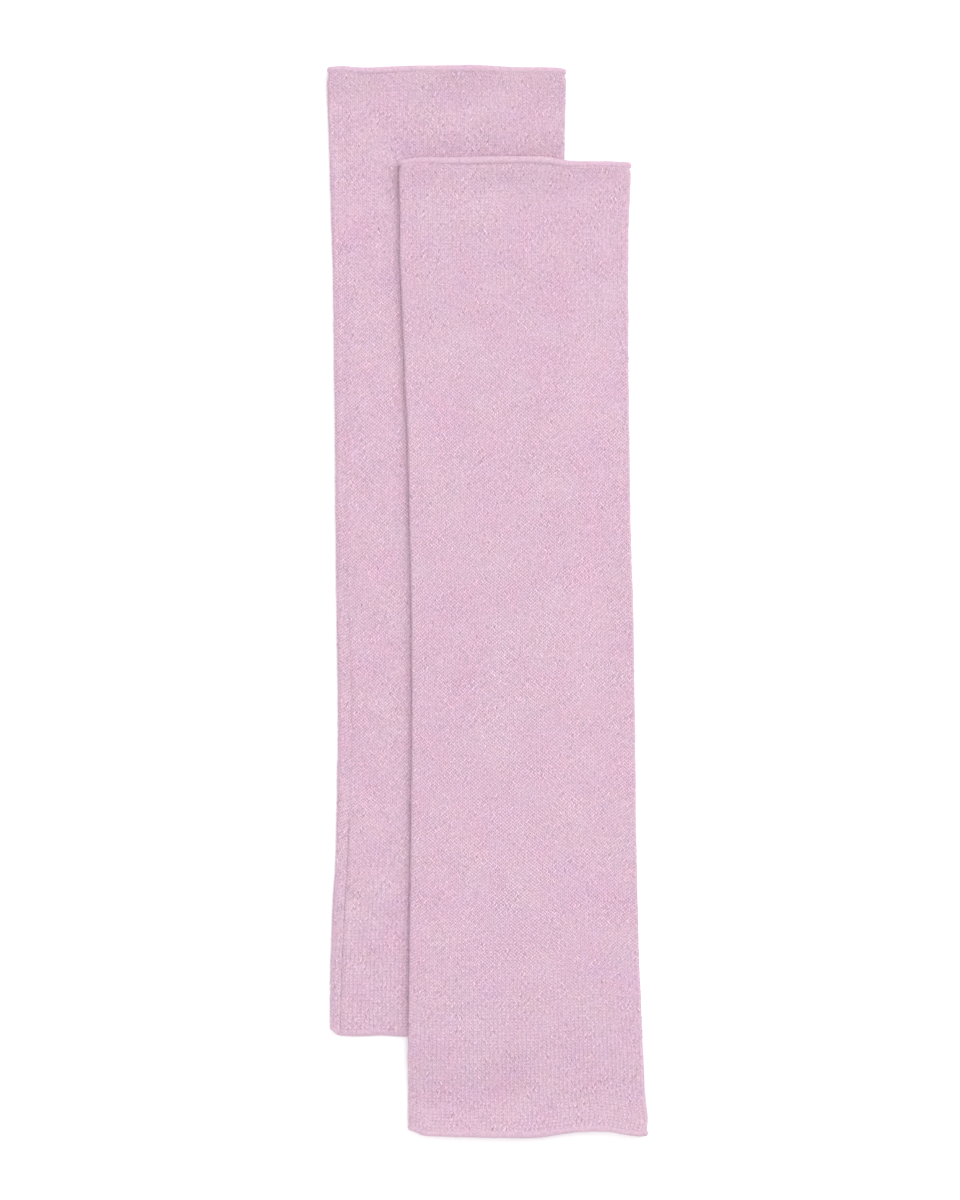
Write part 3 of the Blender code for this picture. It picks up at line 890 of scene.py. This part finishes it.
def linking(skin, material):
    """The linked seam's own stitches, which cross the bottom of its groove."""
    bm = bmesh.new()
    link = bmesh.ops.create_uvsphere(bm, u_segments=6, v_segments=4, radius=0.5)["verts"]
    bmesh.ops.scale(bm, verts=link, vec=LINK_SIZE)
    bmesh.ops.translate(bm, verts=link, vec=(0, 0.5, 0))
    # A sphere's edges and faces come in another order each run, so they are sorted
    bm.verts.index_update()
    for parts in (bm.edges, bm.faces):
        parts.sort(key=lambda part: sum(2**vert.index for vert in part.verts))
    mesh = repeated(finished(bm, "link"), 1, COURSES)
    points = flat_points(mesh)
    height = WALL / 2 - LINK_SINKS + points[:, 2]
    laid(mesh, skin, points[:, 0], points[:, 1], height, np.full(len(points), YARN_SHADE))
    return piece(f"{skin.glove.name}_linking", mesh, material)


def fibre():
    """One loose fibre, thick at its root, a length of 1 tall."""
    bm = bmesh.new()
    made = bmesh.ops.create_cone(
        bm, segments=FIBRE_SIDES, radius1=0.5, radius2=FIBRE_TIP, depth=1.0, cap_ends=True
    )["verts"]
    bmesh.ops.translate(bm, verts=made, vec=(0, 0, 0.5))
    upright = [edge for edge in bm.edges if abs(edge.verts[0].co.z - edge.verts[1].co.z) > 0.5]
    bmesh.ops.subdivide_edges(bm, edges=upright, cuts=1)
    bmesh.ops.triangulate(bm, faces=bm.faces)
    return finished(bm, "fibre")


def nap(skin, material):
    """Loose fibres that lie over the stitches and stand off a little."""
    chance = np.random.default_rng(3 + skin.glove.number)
    tries = FIBRE_TRIES * FIBRES
    root_wale = chance.uniform(0, WALES, tries)
    root_course = chance.uniform(1, COURSES - 1, tries)
    roots = skin.lay(root_wale, root_course, np.full(tries, WALL / 2))
    seen = roots[:, 2] - ground(skin.glove, roots[:, 0], roots[:, 1]) > SEEN_ABOVE
    seen &= ~hidden(skin.glove, roots[:, 0], roots[:, 1])
    kept = np.flatnonzero(seen)[:FIBRES]
    base = fibre()
    mesh = repeated(base, len(kept), 1)
    points = flat_points(mesh)
    number = np.arange(len(points)) // len(base.vertices)
    heading = chance.uniform(0, 2 * math.pi, len(kept))[number]
    bend = chance.normal(0, FIBRE_BEND, len(kept))[number]
    long = chance.normal(FIBRE_LONG, FIBRE_LONG_SPREAD, len(kept))
    long = np.clip(long, *FIBRE_LONG_LIMITS)[number]
    lift = chance.uniform(*FIBRE_LIFT, len(kept))[number]
    t = points[:, 2]
    way = heading + bend * t / 2
    aside = (points[:, 0] - number) * FIBRE_THICK
    across = long * t * np.cos(way) - aside * np.sin(heading + bend * t)
    along = long * t * np.sin(way) + aside * np.cos(heading + bend * t)
    height = WALL / 2 + STITCH_RISE - FIBRE_SINKS + lift * np.sin(FIBRE_ARCH * t)
    height += points[:, 1] * FIBRE_THICK
    wale = root_wale[kept][number] + across / WALE
    course = root_course[kept][number] + along / COURSE
    laid(mesh, skin, wale, course, height, np.full(len(points), FIBRE_SHADE))
    return piece(f"{skin.glove.name}_nap", mesh, material)


# Materials

def node(tree, kind, inputs=(), **settings):
    """A shader node with its settings, and its sockets set or joined."""
    made = tree.nodes.new(kind)
    for name, value in settings.items():
        setattr(made, name, value)
    for label, value in dict(inputs).items():
        socket = made.inputs[label]
        if isinstance(value, bpy.types.NodeSocket):
            tree.links.new(value, socket)
        else:
            socket.default_value = value
    return made


def maths(tree, operation, *values):
    return node(tree, "ShaderNodeMath", dict(enumerate(values)), operation=operation).outputs[0]


def noise(tree, place, scale, detail, roughness):
    settings = {"Vector": place, "Scale": scale, "Detail": detail, "Roughness": roughness}
    return node(tree, "ShaderNodeTexNoise", settings).outputs["Fac"]


def ranged(tree, value, low, high, to_low, to_high):
    settings = {
        "Value": value, "From Min": low, "From Max": high, "To Min": to_low, "To Max": to_high
    }
    return node(tree, "ShaderNodeMapRange", settings, clamp=False).outputs["Result"]


def wandering(tree, place, kind, to_low, to_high):
    """A value that noise of this kind moves between two."""
    value = noise(tree, place, kind.scale, kind.detail, kind.roughness)
    return ranged(tree, value, kind.low, kind.high, to_low, to_high)


def mixed(tree, share, first, second):
    """One colour blended into another."""
    made = node(tree, "ShaderNodeMix", data_type="RGBA")
    for place, value in ((0, share), (6, first), (7, second)):
        tree.links.new(value, made.inputs[place])
    return made.outputs[2]


def effect(name, inputs, output):
    """An empty shader node group, with the node that its inputs come from and its own end."""
    made = bpy.data.node_groups.new(name, "ShaderNodeTree")
    for label, kind, value in inputs:
        made.interface.new_socket(label, in_out="INPUT", socket_type=kind).default_value = value
    made.interface.new_socket(output[0], in_out="OUTPUT", socket_type=output[1])
    return made, made.nodes.new("NodeGroupInput").outputs, made.nodes.new("NodeGroupOutput").inputs


def make_heather():
    """Heather yarn, in which pink and lilac blend in soft clouds, with paler and deeper specks."""
    tree, given, out = effect(
        "heather yarn",
        [
            ("Pink", "NodeSocketColor", (1, 1, 1, 1)),
            ("Lilac", "NodeSocketColor", (1, 1, 1, 1)),
            ("Ash", "NodeSocketFloat", ASH),
            ("Shade", "NodeSocketFloat", YARN_SHADE),
            ("Shade Range", "NodeSocketFloat", 0.0),
            ("Cloth", "NodeSocketVector", (0, 0, 0)),
            ("Pit Shade", "NodeSocketFloat", 0.0),
        ],
        ("Color", "NodeSocketColor"),
    )
    place = node(tree, "ShaderNodeTexCoord").outputs["Object"]
    blend = wandering(tree, place, BLEND_NOISE, 0.0, 1.0)
    parts = node(
        tree, "ShaderNodeSeparateXYZ", {0: mixed(tree, blend, given["Pink"], given["Lilac"])}
    ).outputs
    ashen = wandering(tree, place, ASH_NOISE, -1.0, 1.0)
    ashen = maths(tree, "ADD", maths(tree, "MULTIPLY", ashen, given["Ash"]), 1.0)
    green = maths(tree, "MULTIPLY", parts["Y"], ashen)
    colour = node(tree, "ShaderNodeCombineXYZ", {"X": parts["X"], "Y": green, "Z": parts["Z"]})
    cloud = wandering(tree, place, CLOUD_NOISE, -CLOUD_SHADE, CLOUD_SHADE)
    speck = wandering(tree, place, SPECK_NOISE, -SPECK_SHADE, SPECK_SHADE)
    # Painted shade in the hollows between the legs, in a lattice of wales and courses
    spots = node(tree, "ShaderNodeSeparateXYZ", {0: given["Cloth"]}).outputs
    across, along = (
        maths(tree, "COSINE", ranged(tree, spots[axis], start, start + 1, 0, 2 * math.pi))
        for axis, start in zip("XY", PIT_SHADE_AT)
    )
    deep = maths(tree, "MULTIPLY", maths(tree, "MULTIPLY", across, along), given["Pit Shade"])
    light = maths(tree, "SUBTRACT", maths(tree, "ADD", cloud, speck), deep)
    lighter = maths(tree, "SUBTRACT", given["Shade"], YARN_SHADE)
    whole = maths(
        tree, "ADD", maths(tree, "MULTIPLY_ADD", lighter, given["Shade Range"], light), 1.0
    )
    yarn = node(
        tree, "ShaderNodeVectorMath", {0: colour.outputs[0], "Scale": whole}, operation="SCALE"
    )
    tree.links.new(yarn.outputs[0], out["Color"])
    return tree


def make_fibre_relief():
    """The roughness of spun yarn close to."""
    tree, given, out = effect(
        "spun yarn", [("Fineness", "NodeSocketFloat", 2400.0)], ("Height", "NodeSocketFloat")
    )
    place = node(tree, "ShaderNodeTexCoord").outputs["Object"]
    rough = noise(tree, place, given["Fineness"], detail=2.0, roughness=0.6)
    tree.links.new(rough, out["Height"])
    return tree


def make_knit_relief():
    """The rise of the loops where none are laid on, two slanted legs to a wale."""
    tree, given, out = effect(
        "knit relief", [("Cloth", "NodeSocketVector", (0, 0, 0))], ("Height", "NodeSocketFloat")
    )
    parts = node(tree, "ShaderNodeSeparateXYZ", {0: given["Cloth"]}).outputs
    wale = maths(tree, "FRACT", parts["X"])
    from_middle = maths(tree, "ABSOLUTE", maths(tree, "SUBTRACT", wale, 0.5))
    legs = maths(tree, "ABSOLUTE", maths(tree, "SINE", maths(tree, "MULTIPLY", wale, 2 * math.pi)))
    slant = maths(tree, "ADD", parts["Y"], maths(tree, "MULTIPLY", from_middle, 1.2))
    loops = maths(tree, "COSINE", maths(tree, "MULTIPLY", slant, 2 * math.pi))
    height = maths(tree, "MULTIPLY", legs, ranged(tree, loops, -1.0, 1.0, 0.4, 1.0))
    uncurled = maths(
        tree, "MULTIPLY", maths(tree, "GREATER_THAN", parts["Y"], 0.0),
        maths(tree, "LESS_THAN", parts["Y"], float(COURSES)),
    )
    tree.links.new(maths(tree, "MULTIPLY", height, uncurled), out["Height"])
    return tree


def cloth_map(tree):
    """Wales across and courses along, as laid on the surface."""
    return node(tree, "ShaderNodeUVMap", uv_map="cloth").outputs["UV"]


def jersey(name, effects, lightness=1.0, shade_range=0.0, knit_relief=False, pit_shade=False):
    """A finish of the heather jersey."""
    made = bpy.data.materials.new(name)
    made.use_nodes = True
    tree = made.node_tree
    shader = tree.nodes["Principled BSDF"]
    heather = node(tree, "ShaderNodeGroup", node_tree=effects["heather"])
    for label, colour in (("Pink", PINK), ("Lilac", LILAC)):
        heather.inputs[label].default_value = (*(v * lightness for v in colour), 1.0)
    if shade_range:
        shade = node(tree, "ShaderNodeAttribute", attribute_name="shade").outputs["Fac"]
        tree.links.new(shade, heather.inputs["Shade"])
        heather.inputs["Shade Range"].default_value = shade_range
    if pit_shade:
        deep = node(tree, "ShaderNodeAttribute", attribute_name="pit_shade").outputs["Fac"]
        tree.links.new(deep, heather.inputs["Pit Shade"])
        tree.links.new(cloth_map(tree), heather.inputs["Cloth"])
    tree.links.new(heather.outputs["Color"], shader.inputs["Base Color"])
    fibres = node(tree, "ShaderNodeGroup", node_tree=effects["fibres"]).outputs["Height"]
    bump = node(tree, "ShaderNodeBump", {"Strength": 0.35, "Distance": 0.00012, "Height": fibres})
    if knit_relief:
        loops = node(tree, "ShaderNodeGroup", node_tree=effects["knit"])
        tree.links.new(cloth_map(tree), loops.inputs["Cloth"])
        bump = node(
            tree, "ShaderNodeBump",
            {"Strength": 0.9, "Distance": 0.0003, "Height": loops.outputs["Height"],
             "Normal": bump.outputs["Normal"]},
        )
    tree.links.new(bump.outputs["Normal"], shader.inputs["Normal"])
    for label, value in (
        ("Roughness", 0.9), ("Metallic", 0.0), ("Specular IOR Level", 0.25),
        ("Sheen Weight", 0.4), ("Sheen Roughness", 0.5), ("Sheen Tint", SHEEN_TINT),
    ):
        shader.inputs[label].default_value = value
    return made


# The stage

def make_floor():
    bm = bmesh.new()
    bmesh.ops.create_grid(bm, x_segments=1, y_segments=1, size=4.0)
    mesh = finished(bm, "floor")
    made = bpy.data.materials.new("floor")
    made.use_nodes = True
    shader = made.node_tree.nodes["Principled BSDF"]
    shader.inputs["Base Color"].default_value = FLOOR_COLOUR
    shader.inputs["Roughness"].default_value = 0.8
    mesh.materials.append(made)
    floor = bpy.data.objects.new("floor", mesh)
    bpy.context.collection.objects.link(floor)


def soft_light(name, azimuth, elevation, size, power):
    """A square lamp that looks at the middle of the gloves."""
    data = bpy.data.lights.new(name, "AREA")
    data.shape = "SQUARE"
    data.size = size
    data.energy = power
    lamp = bpy.data.objects.new(name, data)
    bpy.context.collection.objects.link(lamp)
    turn, tilt = math.radians(azimuth), math.radians(elevation)
    lamp.location = (
        LAMPS_AWAY * math.cos(tilt) * math.cos(turn),
        LAMPS_AWAY * math.cos(tilt) * math.sin(turn),
        LAMPS_AWAY * math.sin(tilt),
    )
    lamp.rotation_euler = (0.0, math.pi / 2 - tilt, turn)


def make_world(strength):
    world = bpy.data.worlds.new("studio")
    world.use_nodes = True
    sky = world.node_tree.nodes["Background"]
    sky.inputs["Color"].default_value = (1.0, 1.0, 1.0, 1.0)
    sky.inputs["Strength"].default_value = strength
    bpy.context.scene.world = world


def overhead_camera():
    """Straight above, so that the pair is framed as in the photo."""
    pixel = PIXEL * MM
    data = bpy.data.cameras.new("camera")
    data.sensor_fit = "HORIZONTAL"
    data.sensor_width = 36.0
    data.lens = data.sensor_width * CAMERA_AWAY / (FRAME_WIDE * pixel)
    camera = bpy.data.objects.new("camera", data)
    bpy.context.collection.objects.link(camera)
    camera.location = (CAMERA_TO_SIDE * pixel, CAMERA_TO_END * pixel, CAMERA_AWAY + CLOTH_TOP)
    bpy.context.scene.camera = camera


# All of it

def make_finishes():
    """The finishes of the wall, the stitches, the linked seam and the loose fibres."""
    effects = {
        "heather": make_heather(), "fibres": make_fibre_relief(), "knit": make_knit_relief()
    }
    return {
        "wall": jersey("jersey wall", effects, WALL_SHADED_LIGHTNESS, WALL_SHADE_RANGE, knit_relief=True),
        "stitches": jersey("jersey stitches", effects, shade_range=STITCH_SHADE_RANGE, pit_shade=True),
        "seam": jersey("linked seam", effects, WALL_SHADED_LIGHTNESS),
        "nap": jersey("loose fibres", effects, FIBRE_LIGHTNESS),
    }


def dress(glove, finishes):
    """All that shows of a glove: its wall in place of the solids' layers and seam, the linked seam, the
    stitches, the purl side of its rolled ends and the nap.
    """
    skin = Skin(glove)
    wall = shell(skin, finishes["wall"])
    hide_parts(*(f"{glove.name}_{part}" for part in ("upper_layer", "lower_layer", "seam")))
    parts = [linking(skin, finishes["seam"])]
    for seed, (wales, courses) in enumerate(swatches(skin), 1):
        parts.append(stitches(skin, finishes["stitches"], wales, courses, seed))
    parts.append(purl_side(skin, finishes["stitches"], True))
    if glove.arm_rolls:
        parts.append(purl_side(skin, finishes["stitches"], False))
    parts.append(nap(skin, finishes["nap"]))


overhead_camera()
make_floor()
make_world(strength=0.55)
soft_light("key", azimuth=50, elevation=36, size=2.6, power=99)
soft_light("overhead", azimuth=90, elevation=88, size=2.4, power=47)
soft_light("left fill", azimuth=185, elevation=25, size=2.4, power=34)
soft_light("near fill", azimuth=262, elevation=25, size=2.4, power=32)
bpy.context.scene.view_settings.view_transform = "Standard"

finishes = make_finishes()
for glove in (UNDER, OVER):
    dress(glove, finishes)
